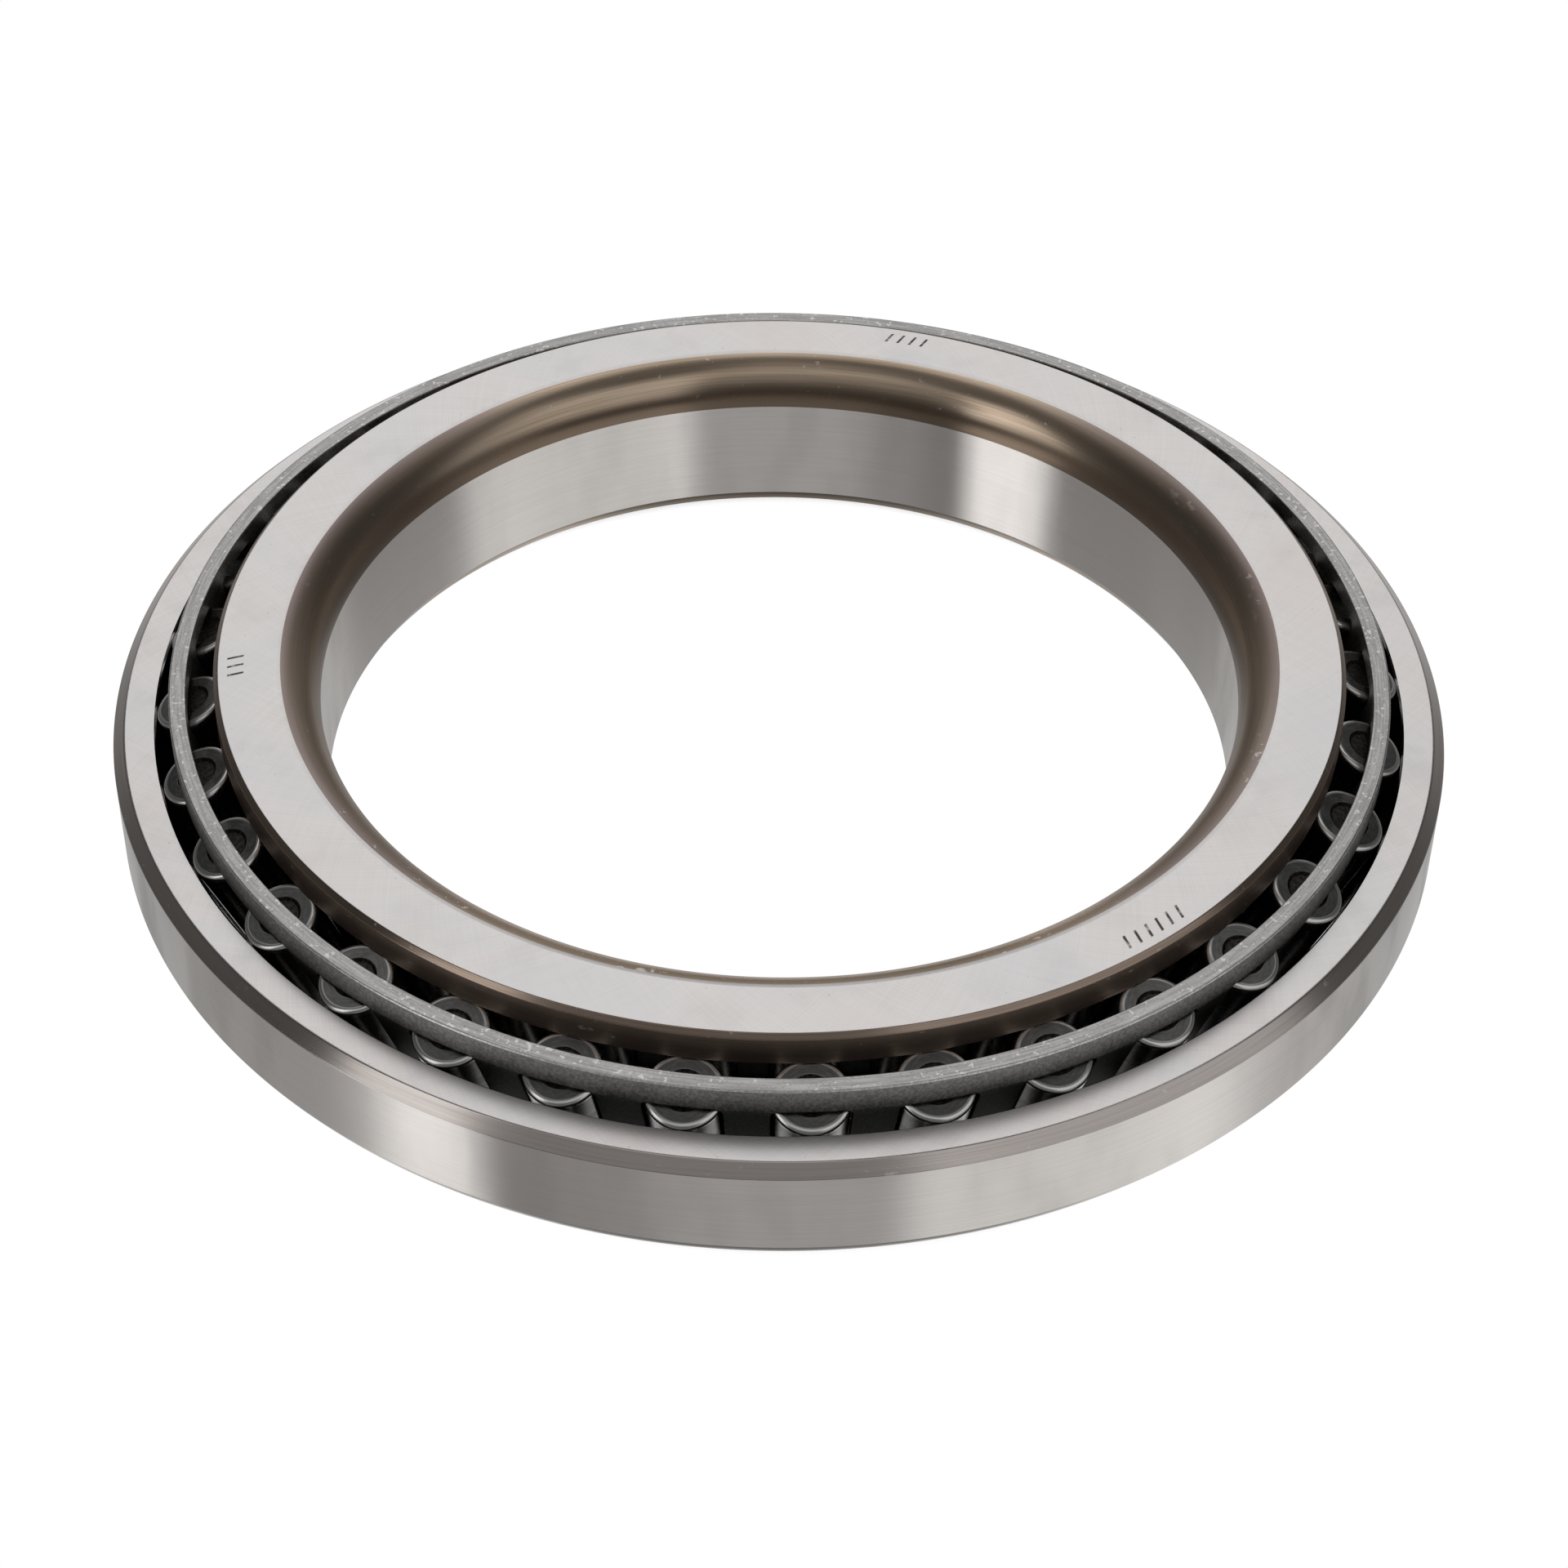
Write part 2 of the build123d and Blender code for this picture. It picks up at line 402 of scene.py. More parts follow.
cup = section("outer_ring")
outside_radius = max(radius for radius, z in cup)
cup_width = max(z for radius, z in cup)
seat_low, seat_high = heights_at(cup, outside_radius)
cup_back_inner, cup_back_outer = radii_at(cup, 0)
cup_face_inner, cup_face_outer = radii_at(cup, cup_width)
track_back_radius = min(radius for radius, z in cup)
track_back = heights_at(cup, track_back_radius)[0]
track_front = cup_width - track_back
track_front_radius = radii_at(cup, track_front)[0]

cup_corners = [(cup_back_inner, 0, CRISP_EDGE), (cup_back_outer, 0, TUMBLED_EDGE)]
cup_corners += bulge((cup_back_outer, 0), (outside_radius, seat_low), BACK_ARC, ARC_STEPS)
cup_corners += [
    (outside_radius, seat_low, TUMBLED_EDGE),
    (outside_radius, seat_high, TUMBLED_EDGE),
    (cup_face_outer, cup_width, WORN_EDGE),
    (cup_face_inner, cup_width, CRISP_EDGE),
    (track_front_radius, track_front, CRISP_EDGE),
    (track_back_radius, track_back, CRISP_EDGE),
]
outer_ring = turned_ring("outer_ring_finished", cup_corners, RING_SIDES)
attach(outer_ring, "outer_ring")
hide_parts("outer_ring")

# %% [markdown]
# ## Inner ring
#
# The inner ring, or cone, carries the rollers on its outside between two ribs. The large rib at the
# back takes the push of the rollers' ends, so its inner side is ground with a small relief groove
# at its foot. The bore ends in a wide rounded corner that clears the fillet of the shaft.

# %% Turn the inner ring
BORE_ARC = 5.80 * MILLIMETRE
SMALL_RIB_BREAK = 0.35 * MILLIMETRE
GROOVE_REACH = 0.40 * MILLIMETRE

cone = section("inner_ring")
bore_radius = min(radius for radius, z in cone)
bore_low, bore_high = heights_at(cone, bore_radius)
cone_back = max(z for radius, z in cone)
cone_front = min(z for radius, z in cone)
back_face_inner, back_face_outer = radii_at(cone, cone_back)
front_face_inner, front_face_outer = radii_at(cone, cone_front)
rib_radius = max(radius for radius, z in cone)
rib_low, rib_high = heights_at(cone, rib_radius)
small_rib_radius = front_face_outer + SMALL_RIB_BREAK
small_rib_low, small_rib_high = heights_at(cone, small_rib_radius)
track_foot = min(
    (radius, z) for radius, z in cone
    if small_rib_high + NEAR < z < (cone_front + cone_back) / 2 and radius > bore_radius + NEAR
)
groove = sorted({
    (round(radius, 6), round(z, 6)) for radius, z in cone
    if abs(z - rib_low) < GROOVE_REACH and small_rib_radius < radius < rib_radius - NEAR
})
groove_deep, track_end, groove_side = groove

cone_corners = [
    (front_face_inner, cone_front, TUMBLED_EDGE),
    (front_face_outer, cone_front, CRISP_EDGE),
    (small_rib_radius, small_rib_low, CRISP_EDGE),
    (small_rib_radius, small_rib_high, CRISP_EDGE),
    (*track_foot, CRISP_EDGE),
    (*track_end, CRISP_EDGE),
    (*groove_deep, CRISP_EDGE),
    (*groove_side, CRISP_EDGE),
    (rib_radius, rib_low, TUMBLED_EDGE),
    (rib_radius, rib_high, TUMBLED_EDGE),
    (back_face_outer, cone_back, LESS_WORN_EDGE),
    (back_face_inner, cone_back, TUMBLED_EDGE),
]
cone_corners += bulge((back_face_inner, cone_back), (bore_radius, bore_high), BORE_ARC, ARC_STEPS)
cone_corners += [(bore_radius, bore_high, 0), (bore_radius, bore_low, TUMBLED_EDGE)]
inner_ring = turned_ring("inner_ring_finished", cone_corners, RING_SIDES)
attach(inner_ring, "inner_ring")
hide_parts("inner_ring")

# %% [markdown]
# ## Rollers
#
# A roller is a short piece of a long thin cone whose tip lies on the bearing's axis, so that it
# rolls without sliding. Its larger end is ground flat in a band around a shallow forged recess, and
# its edge is rounded. One roller is turned standing up, with the cone's tip at the origin. Each
# copy is then tipped outwards, swung round the axis and lowered to the common tip. Every copy keeps
# its own upright coordinates in an attribute, so the grinding marks follow the roller.

# %% Find the rollers' common tip
first_joint = next(joint for joint in frame["joints"] if joint["name"] == "roller_01_spin")
roller_line = Vector(first_joint["axis"])
roller_middle = Vector(first_joint["pos_m"])
roller_tilt = math.atan2(roller_line.x, roller_line.z)
tip_height = roller_middle.z - roller_middle.x / math.tan(roller_tilt)
tip = Vector((0, 0, tip_height))
along = [(v.co - tip).dot(roller_line) for v in frame["nodes"]["roller_01"].data.vertices]
large_end = max(along)
small_end = min(along)
track_angle = math.atan((track_front_radius - track_back_radius) / (track_front - track_back))
half_taper = track_angle - roller_tilt
roller_count = sum(name.startswith("roller_") for name in frame["nodes"])
print("tip", round(tip_height / MILLIMETRE, 2), "tilt", round(math.degrees(roller_tilt), 3))
print("half taper", round(math.degrees(half_taper), 4), "rollers", roller_count)

# %% Turn one roller
ROLLER_SIDES = 64
RACE_GAP = 0.04 * MILLIMETRE
LARGE_ROUND = 0.55 * MILLIMETRE
SMALL_ROUND = 0.35 * MILLIMETRE
RECESS_RADIUS = 2.45 * MILLIMETRE
RECESS_DEPTH = 0.29 * MILLIMETRE
RECESS_SLOPE = 0.35 * MILLIMETRE
RECESS_ROUND = 0.14 * MILLIMETRE
CENTRE_DOT = 0.25 * MILLIMETRE


def roller_radius(distance):
    """Radius of a roller at a distance from the tip."""
    return distance * math.tan(half_taper) - RACE_GAP


def turned_bar(name, corners, sides):
    """A solid turned from a section that starts and ends at small circles, which are then filled."""
    points = rounded(corners)
    piece = start_circle(name, points[0], sides)
    carry(points)
    bpy.ops.mesh.select_all(action="SELECT")
    bpy.ops.mesh.fill_holes(sides=0)
    return close_mesh(piece)


recess_floor = large_end - RECESS_DEPTH
roller_corners = [
    (CENTRE_DOT, small_end, 0),
    (roller_radius(small_end), small_end, SMALL_ROUND),
    (roller_radius(large_end), large_end, LARGE_ROUND),
    (RECESS_RADIUS, large_end, RECESS_ROUND),
    (RECESS_RADIUS - RECESS_SLOPE, recess_floor, RECESS_ROUND),
    (CENTRE_DOT, recess_floor, 0),
]
roller_blank = turned_bar("roller_blank", roller_corners, ROLLER_SIDES)
roller_half = (large_end + small_end) / 2
upright = roller_blank.data.attributes.new("upright", "FLOAT_VECTOR", "POINT")
for vertex, value in zip(roller_blank.data.vertices, upright.data):
    value.vector = (vertex.co.x, vertex.co.y, vertex.co.z - roller_half)
print("roller", len(roller_blank.data.polygons), "faces, large end",
      round(2 * roller_radius(large_end) / MILLIMETRE, 3), "mm")

# %% [markdown]
# ## Cage
#
# The cage is pressed from steel sheet: an upright rim at the rollers' large ends, a cone-shaped wall
# between the rollers and a flange turned in at the small ends. The blank is turned like a ring.
# The pockets are then punched, and the nearest thing to a punch is a Boolean: one rounded cutter is
# shaped, copied to every roller's place, and taken away from the sheet in a single cut. The
# number of sides is a multiple of the pockets, so every pocket is cut from the same facets.

# %% Turn the cage's blank
SIDES_PER_POCKET = 9
SHEET = 2.05 * MILLIMETRE
WALL_OUTSIDE = 2.125 * MILLIMETRE
POCKET_END_GAP = 0.48 * MILLIMETRE
CAGE_BEND = 2.60 * MILLIMETRE
RIM_ROUND = 0.20 * MILLIMETRE


def beside_roller(distance, outward):
    """Radius and height of a point at a distance from the tip and outward from the roller's axis."""
    radius = distance * math.sin(roller_tilt) + outward * math.cos(roller_tilt)
    return radius, tip_height + distance * math.cos(roller_tilt) - outward * math.sin(roller_tilt)


cage_section = section("cage")
rim_radius = max(radius for radius, z in cage_section)
rim_top = max(z for radius, z in cage_section)
foot_height = min(z for radius, z in cage_section)
flange_bore = min(radius for radius, z in cage_section)
pocket_top = large_end + POCKET_END_GAP
pocket_foot = small_end - POCKET_END_GAP
shoulder = beside_roller(pocket_top, WALL_OUTSIDE)
wall_slope = math.tan(roller_tilt)
outside_at_tip = WALL_OUTSIDE / math.cos(roller_tilt)
inside_at_tip = (WALL_OUTSIDE - SHEET) / math.cos(roller_tilt)
foot_radius = outside_at_tip + (foot_height - tip_height) * wall_slope
flange_top = foot_height + SHEET
flange_corner = inside_at_tip + (flange_top - tip_height) * wall_slope
rim_inside = rim_radius - SHEET
rim_foot = tip_height + (rim_inside - inside_at_tip) / wall_slope

cage_corners = [
    (flange_bore, foot_height, CRISP_EDGE),
    (foot_radius, foot_height, CAGE_BEND),
    (*shoulder, TUMBLED_EDGE),
    (rim_radius, rim_top, RIM_ROUND),
    (rim_inside, rim_top, RIM_ROUND),
    (rim_inside, rim_foot, TUMBLED_EDGE),
    (flange_corner, flange_top, CAGE_BEND - SHEET),
    (flange_bore, flange_top, CRISP_EDGE),
]
cage = turned_ring("cage_finished", cage_corners, roller_count * SIDES_PER_POCKET)
print("cage rim", round(rim_radius / MILLIMETRE, 2), round(shoulder[0] / MILLIMETRE, 2))

# %% Shape one cutter
POCKET_SIDE_GAP = 0.20 * MILLIMETRE
POCKET_NARROWING = math.tan(math.radians(8.0))
POCKET_ROUND = 1.10 * MILLIMETRE
PUNCH_REACH = 4.45 * MILLIMETRE
PUNCH_START = 1.0 * MILLIMETRE

punch_inside = WALL_OUTSIDE - SHEET - PUNCH_REACH
punch_outside = WALL_OUTSIDE + PUNCH_REACH


def pocket_half_width(distance, outward):
    """Half of a pocket's width, which narrows outwards so that no roller falls out."""
    return distance * math.tan(half_taper) + POCKET_SIDE_GAP - outward * POCKET_NARROWING


def pick(piece, chosen):
    """Enters edit mode with only the vertices selected for whose places chosen is true."""
    bpy.ops.object.mode_set(mode="EDIT")
    bpy.ops.mesh.select_all(action="DESELECT")
    bpy.ops.object.mode_set(mode="OBJECT")
    for vertex in piece.data.vertices:
        vertex.select = chosen(vertex.co)
    bpy.ops.object.mode_set(mode="EDIT")


bpy.ops.object.select_all(action="DESELECT")
bpy.ops.mesh.primitive_cube_add(size=1, scale=(
    punch_outside - punch_inside,
    2 * PUNCH_START,
    pocket_top - pocket_foot,
), location=((punch_outside + punch_inside) / 2, 0, (pocket_top + pocket_foot) / 2))
punch = bpy.context.object
punch.name = "punch"
bpy.ops.object.transform_apply()
for outward in (punch_inside, punch_outside):
    for distance in (pocket_foot, pocket_top):
        pick(punch, lambda co: abs(co.x - outward) < NEAR and abs(co.z - distance) < NEAR)
        widening = pocket_half_width(distance, outward) / PUNCH_START
        bpy.ops.transform.resize(value=(1, widening, 1), center_override=(outward, 0, distance))
        bpy.ops.object.mode_set(mode="OBJECT")
print("punch", len(punch.data.vertices), "corners")

# %% Round it, copy it to every roller's place and punch the sheet
PUNCH_STEPS = 5
POCKET_EDGE = 0.11 * MILLIMETRE
EDGE_STEPS = 3
SHARPER_THAN = math.radians(40)


def roller_swing(number):
    """Angle round the bearing's axis at which a roller stands."""
    joint = next(joint for joint in frame["joints"] if joint["name"] == f"roller_{number:02d}_spin")
    return math.atan2(joint["axis"][1], joint["axis"][0])


def seat(piece, number):
    """Tips an upright piece outwards, swings it to a roller's place and lowers it to the tip."""
    piece.rotation_euler = (0, roller_tilt, roller_swing(number))
    piece.location = (0, 0, tip_height)
    bpy.ops.object.select_all(action="DESELECT")
    piece.select_set(True)
    bpy.context.view_layer.objects.active = piece
    bpy.ops.object.transform_apply()
    return piece


def another(piece, name):
    """A copy of a piece with its own mesh."""
    bpy.ops.object.select_all(action="DESELECT")
    piece.select_set(True)
    bpy.context.view_layer.objects.active = piece
    bpy.ops.object.duplicate(linked=False)
    bpy.context.object.name = name
    return bpy.context.object


bpy.ops.object.mode_set(mode="EDIT")
bpy.ops.mesh.select_mode(type="EDGE")
bpy.ops.mesh.select_all(action="DESELECT")
bpy.ops.object.mode_set(mode="OBJECT")
for edge in punch.data.edges:
    ends = [punch.data.vertices[index].co for index in edge.vertices]
    edge.select = abs(ends[0].x - ends[1].x) > PUNCH_REACH
bpy.ops.object.mode_set(mode="EDIT")
bpy.ops.mesh.bevel(offset=POCKET_ROUND, segments=PUNCH_STEPS, affect="EDGES")
bpy.ops.mesh.select_mode(type="VERT")
bpy.ops.object.mode_set(mode="OBJECT")

numbers = range(1, roller_count + 1)
punches = [seat(another(punch, f"punch_{number:02d}"), number) for number in numbers]
bpy.ops.object.select_all(action="DESELECT")
for copy in punches:
    copy.select_set(True)
bpy.context.view_layer.objects.active = punches[0]
bpy.ops.object.join()
bpy.ops.object.shade_smooth()

bpy.ops.object.select_all(action="DESELECT")
cage.select_set(True)
bpy.context.view_layer.objects.active = cage
pockets = cage.modifiers.new("pockets", "BOOLEAN")
pockets.operation = "DIFFERENCE"
pockets.solver = "EXACT"
pockets.object = punches[0]
bpy.ops.object.modifier_apply(modifier=pockets.name)
edges = cage.modifiers.new("pocket_edges", "BEVEL")
edges.width = POCKET_EDGE
edges.segments = EDGE_STEPS
edges.limit_method = "ANGLE"
edges.angle_limit = SHARPER_THAN
edges.use_clamp_overlap = False
edges.harden_normals = True
bpy.ops.object.modifier_apply(modifier=edges.name)
bpy.data.objects.remove(punches[0])
bpy.data.objects.remove(punch)
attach(cage, "cage")
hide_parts("cage")
print("cage", len(cage.data.polygons), "faces after punching")

# %% Seat the rollers
rollers = []
for number in numbers:
    roller = seat(another(roller_blank, f"roller_{number:02d}_finished"), number)
    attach(roller, f"roller_{number:02d}")
    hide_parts(f"roller_{number:02d}")
    rollers.append(roller)
bpy.data.objects.remove(roller_blank)
print("rollers seated:", len(rollers))

# %% [markdown]
# ## Finishes
#
# A turned or ground surface carries the marks of its tool, and all of them run round the axis. A
# pattern gets that direction from its coordinates: the cosine and sine of the angle change slowly,
# while radius and height change fast. Four numbers need a four-dimensional noise, and because the
# angle itself is never used, no seam shows. Each finish mixes such lines with blotches, specks and
# scratches, and feeds colour, roughness and a very low bump.

# %% Patterns that follow a lathe
def lathe_noise(place, around, fine, detail=2.0):
    """Noise with fine features to the metre across a turned surface and around ones round it."""
    x, y, z = place.split()
    radius = (x * x + y * y) ** 0.5
    turned = place.add("ShaderNodeCombineXYZ", None, {
        "X": x / radius * around,
        "Y": y / radius * around,
        "Z": radius * fine,
    })
    inputs = {"Vector": turned, "W": z * fine, "Scale": 1.0, "Detail": detail}
    return place.add("ShaderNodeTexNoise", {"noise_dimensions": "4D"}, inputs)


def wheel_noise(place, twist, around):
    """The arcs that a grinding wheel leaves as it sweeps over a flat face."""
    x, y, z = place.split()
    radius = (x * x + y * y) ** 0.5
    angle = y.maths("ARCTAN2", y, x) + radius * twist
    swept = place.add("ShaderNodeCombineXYZ", None, {
        "X": angle.maths("COSINE", angle) * around,
        "Y": angle.maths("SINE", angle) * around,
        "Z": radius * 60,
    })
    return place.add("ShaderNodeTexNoise", None, {"Vector": swept, "Scale": 1.0, "Detail": 2.0})


def relief(height, depth):
    """A surface normal bumped by a height from 0 to 1, depth metres deep."""
    return height.add("ShaderNodeBump", None, {"Height": height, "Distance": depth})


def metal(name, coordinates, describe, fixed=None, grain=False):
    """A metal: describe turns coordinates into what varies, fixed holds what doesn't."""
    paint = bpy.data.materials.new(name)
    paint.use_nodes = True
    paint.node_tree.nodes.clear()
    start = Wire(paint.node_tree)
    if coordinates == "Object":
        place = start.add("ShaderNodeTexCoord", output="Object")
    else:
        place = start.add("ShaderNodeAttribute", {"attribute_name": coordinates}, output="Vector")
    inputs = {"Metallic": 1.0, **(fixed or {}), **describe(place)}
    if grain:
        settings = {"direction_type": "RADIAL", "axis": "Z"}
        inputs["Tangent"] = start.add("ShaderNodeTangent", settings)
    shader = start.add("ShaderNodeBsdfPrincipled", None, inputs)
    start.add("ShaderNodeOutputMaterial", None, {"Surface": shader})
    return paint


def shade(red, green, blue):
    """An opaque colour in linear light."""
    return red, green, blue, 1.0


# %% [markdown]
# ### Ground walls
#
# The bore and the outside are ground between centres, so their marks are fine lines round the axis.
# Such lines spread a reflection along the axis and keep it narrow across, which is what the
# anisotropic setting does. A slow change of roughness stops the highlights from being perfect.

# %% Ground walls of the rings
def ground_wall_pattern(place):
    """Pale steel with fine lines round the axis and slightly duller patches."""
    lines = lathe_noise(place, 5, 7000)
    bands = lathe_noise(place, 3, 900)
    patches = lathe_noise(place, 14, 60)
    base = mixed(shade(0.69, 0.655, 0.625), shade(0.72, 0.685, 0.655), ramp_up(lines, 0.3, 0.7))
    base = mixed(base, shade(0.65, 0.61, 0.58), ramp_up(bands, 0.55, 0.75) * 0.25)
    roughness = 0.19 + 0.05 * ramp_up(patches, 0.4, 0.7)
    return {"Base Color": base, "Roughness": roughness, "Normal": relief(lines, 0.1e-6)}


ROUND_THE_AXIS = {"Anisotropic": 1.0, "Anisotropic Rotation": 0.25}
ground_wall = metal("ground_wall", "Object", ground_wall_pattern, ROUND_THE_AXIS, grain=True)


# %% [markdown]
# ### Ground faces
#
# A cup wheel grinds the flat faces and leaves two crossing families of long arcs. The steel picks
# up a faint blush where it was handled, a bluish cast elsewhere, and some small dark specks.

# %% Ground flat faces of the rings
def ground_face_pattern(place):
    """Pale steel with crossing wheel arcs, a blush, smudges and specks."""
    arcs = wheel_noise(place, 14, 900) + wheel_noise(place, -16, 700)
    lines = lathe_noise(place, 8, 5000)
    blush = noise(place, (55, 55, 55), 3.0)
    smudge = noise(place, (160, 160, 160), 4.0, 0.6)
    specks = noise(place, (2400, 2400, 2400), 1.0)
    base = mixed(shade(0.695, 0.665, 0.652), shade(0.755, 0.733, 0.722), ramp_up(arcs, 0.8, 1.2))
    base = mixed(base, shade(0.73, 0.665, 0.65), ramp_up(blush, 0.5, 0.75) * 0.5)
    base = mixed(base, shade(0.665, 0.675, 0.69), (1 - ramp_up(blush, 0.3, 0.5)) * 0.4)
    base = mixed(base, shade(0.33, 0.31, 0.29), ramp_up(specks, 0.78, 0.82) * 0.7)
    roughness = 0.27 + 0.02 * arcs + 0.05 * ramp_up(smudge, 0.45, 0.75)
    bumps = arcs * 0.5 + lines * 0.25
    return {"Base Color": base, "Roughness": roughness, "Normal": relief(bumps, 1.6e-6)}


ground_face = metal("ground_face", "Object", ground_face_pattern)


# %% [markdown]
# ### Etched marks
#
# Makers etch a batch mark on the inner ring's face. Here it is three rows of slanted dashes. A row
# is a mask: the distance along the row is cut into cells, and each cell holds one thin stroke.

# %% A second face with etched marks, for the inner ring
MARK_RADIUS = 64.3 * MILLIMETRE
MARK_HEIGHT = 0.95 * MILLIMETRE
MARK_WIDTH = 0.17 * MILLIMETRE
MARK_PITCH = 1.55 * MILLIMETRE
MARK_EDGE = 0.05 * MILLIMETRE


def etched_dashes(place, bearing, count, turn):
    """Mask of a row of short slanted dashes: a plain batch mark that spells nothing."""
    x, y, z = place.split()
    bearing = math.radians(bearing)
    outward = x * math.cos(bearing) + y * math.sin(bearing)
    sideways = y * math.cos(bearing) - x * math.sin(bearing)
    radius = (x * x + y * y) ** 0.5
    tall = between(radius, MARK_RADIUS - MARK_HEIGHT, MARK_RADIUS + MARK_HEIGHT, MARK_EDGE)
    count_across = sideways / MARK_PITCH + count / 2 + (radius - MARK_RADIUS) * turn
    cell = count_across.maths("FRACT", count_across) * MARK_PITCH
    stroke = between(cell, MARK_PITCH / 2 - MARK_WIDTH, MARK_PITCH / 2 + MARK_WIDTH, MARK_EDGE)
    inside = between(count_across, 0, count, 0.001)
    return stroke * tall * inside * ramp_up(outward, 0, MARK_EDGE)


def marked_face_pattern(place):
    """The ground face with three rows of dashes etched into it."""
    face = ground_face_pattern(place)
    marks = etched_dashes(place, 75, 4, 180) + etched_dashes(place, 186, 3, -160)
    marks = marks + etched_dashes(place, -51, 6, 220)
    fade = ramp_up(noise(place, (1400, 1400, 1400), 3.0), 0.25, 0.5)
    face["Base Color"] = mixed(face["Base Color"], shade(0.07, 0.065, 0.06), marks * fade * 0.9)
    face["Roughness"] = face["Roughness"] + marks * 0.25
    return face


marked_face = metal("marked_face", "Object", marked_face_pattern)


# %% [markdown]
# ### Turned corners
#
# The corners aren't ground after hardening, so they keep the lathe's lines and the brown tint of the
# furnace. Nicks show the bright steel under it. The bore's corner is painted darker and mauve at the
# sides, a painted shade that also carries the tint seen there, and it is painted dark at its foot as
# a painted shade. The wall of the rib is more matt, and painted darker as a shade for its narrow gap.

# %% Turned corners, tinted by the heat of hardening
def tool_marks(place, pale, dark, worn):
    """Colour, roughness and bump of a turned surface between a pale and a dark tint."""
    lines = lathe_noise(place, 4, 4200)
    bands = lathe_noise(place, 2.5, 700)
    nicks = noise(place, (900, 900, 900), 3.0, 0.7) * 0.6 + lathe_noise(place, 30, 1500) * 0.4
    base = mixed(pale, dark, ramp_up(lines, 0.4, 0.7) * 0.45 + ramp_up(bands, 0.45, 0.7) * 0.35)
    base = mixed(base, worn, ramp_up(nicks, 0.62, 0.67) * 0.85)
    roughness = 0.16 + 0.10 * lines + 0.12 * ramp_up(nicks, 0.6, 0.68)
    return {"Base Color": base, "Roughness": roughness, "Normal": relief(lines + nicks, 1.6e-6)}


MAUVE_REACH = 45 * MILLIMETRE
FOOT_SHADE_START = 0.1 * MILLIMETRE
FOOT_SHADE_END = 1.0 * MILLIMETRE


def bore_corner_pattern(place):
    """Brown at the back and front, darker and mauve at the sides and dark at the foot: painted shade."""
    marks = tool_marks(place, shade(0.60, 0.475, 0.36), shade(0.42, 0.31, 0.22), shade(0.80, 0.70, 0.60))
    x, y, z = place.split()
    radius = (x * x + y * y) ** 0.5
    mauve = mixed(shade(0.36, 0.295, 0.285), shade(0.25, 0.20, 0.19), lathe_noise(place, 3, 1200))
    # The sides, told by their distance along x, are painted darker and mauve: a painted shade with the
    # tint seen there.
    side = ramp_up(x.maths("ABSOLUTE", x), MAUVE_REACH * 0.6, MAUVE_REACH)
    upper = ramp_up(radius, bore_radius + 2 * FOOT_SHADE_END, bore_radius + 4 * FOOT_SHADE_END)
    base = mixed(marks["Base Color"], mauve, side * upper * 0.85)
    base = mixed(base, shade(0.17, 0.135, 0.115), side * (1 - upper) * 0.6)
    marks["Roughness"] = marks["Roughness"] + side * 0.12
    # The foot where the corner runs into the bore is painted dark: a painted shade.
    shaded_foot = 1 - ramp_up(radius, bore_radius + FOOT_SHADE_START, bore_radius + FOOT_SHADE_END)
    base = mixed(base, shade(0.15, 0.11, 0.08), shaded_foot * 0.85)
    scuffs = noise(place, (520, 520, 1100), 5.0, 0.65)
    clusters = noise(place, (70, 70, 70), 1.0)
    scuffed = ramp_up(scuffs, 0.60, 0.64) * ramp_up(clusters, 0.50, 0.60) * upper
    marks["Base Color"] = mixed(base, shade(0.88, 0.82, 0.76), scuffed * 0.9)
    marks["Roughness"] = marks["Roughness"] + scuffed * 0.2
    return marks


def rib_side_pattern(place):
    """Brown like the corner but painted darker as shade, and matt on the upright wall below the chamfer.
    """
    # Both browns are darker than the corner's: a painted shade for the gap between the rib and the cage.
    marks = tool_marks(place, shade(0.40, 0.31, 0.25), shade(0.25, 0.19, 0.15), shade(0.62, 0.54, 0.47))
    x, y, z = place.split()
    marks["Roughness"] = marks["Roughness"] + 0.2 * (1 - ramp_up(z, rib_high - CRISP_EDGE, rib_high))
    return marks


def cup_corner_pattern(place):
    """Greyer than the bore's corner, with the same lines and nicks."""
    return tool_marks(place, shade(0.64, 0.585, 0.55), shade(0.50, 0.45, 0.415), shade(0.78, 0.74, 0.71))


HALF_GRAIN = {"Anisotropic": 0.6, "Anisotropic Rotation": 0.25}
bore_corner = metal("bore_corner", "Object", bore_corner_pattern, HALF_GRAIN, grain=True)
rib_side = metal("rib_side", "Object", rib_side_pattern, HALF_GRAIN, grain=True)
cup_corner = metal("cup_corner", "Object", cup_corner_pattern, HALF_GRAIN, grain=True)


# %% [markdown]
# ### Tracks and rollers
#
# The tracks are honed until they shine, and their steel is kept dark as a painted shade for the gap
# between the rings. The rollers' ends are ground flat and look dull under the same painted shade, and
# their round carries a painted highlight, so each roller shows a thin bright arc. The recess in the
# end keeps the dark skin of the forging.

# %% Honed tracks and ground rollers
def honed_pattern(place):
    """Dark shining steel with very fine lines and a light haze."""
    lines = lathe_noise(place, 6, 9000)
    haze = noise(place, (300, 300, 300), 3.0)
    # The dark steel colour is a painted shade for the gap between the rings.
    base = mixed(shade(0.34, 0.33, 0.32), shade(0.42, 0.41, 0.40), lines)
    roughness = 0.09 + 0.06 * ramp_up(haze, 0.5, 0.7)
    return {"Base Color": base, "Roughness": roughness, "Normal": relief(lines, 0.15e-6)}


ROUND_STARTS = 3.75 * MILLIMETRE
HIGHLIGHT_EDGE = 0.10 * MILLIMETRE
roller_top = large_end - roller_half


